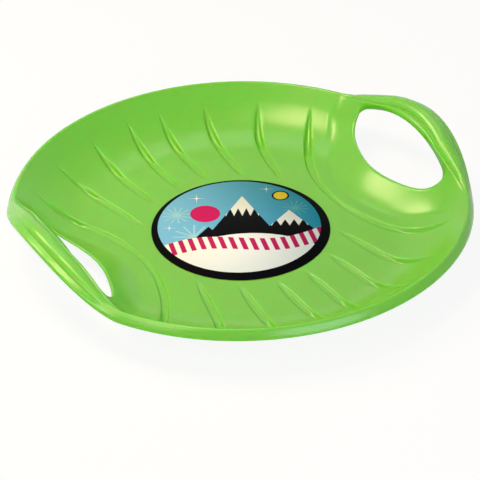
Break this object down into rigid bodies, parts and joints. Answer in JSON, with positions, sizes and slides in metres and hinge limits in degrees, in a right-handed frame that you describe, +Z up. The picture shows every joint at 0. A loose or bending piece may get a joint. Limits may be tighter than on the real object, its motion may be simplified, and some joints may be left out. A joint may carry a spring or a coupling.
{
  "type": "saucer sled",
  "caption": "Round moulded snow saucer with a dished floor, raised runner ribs, a rolled rim, two hand grips with openings and a round centre label",
  "frame": {"origin": "middle of the sled in plan, on the plane that the soles of the runner ribs stand on", "axes": "+Z up, the two hand grips lie along X, Y is across them"},
  "size_m": [0.58, 0.58, 0.0979],
  "materials": {
    "green_polyethylene": "injection-moulded polyethylene with a soft gloss",
    "printed_film": "glossy printed self-adhesive film"
  },
  "bodies": {
    "root": {"sled_shell": "green_polyethylene", "centre_label": "printed_film"}
  },
  "joints": []
}
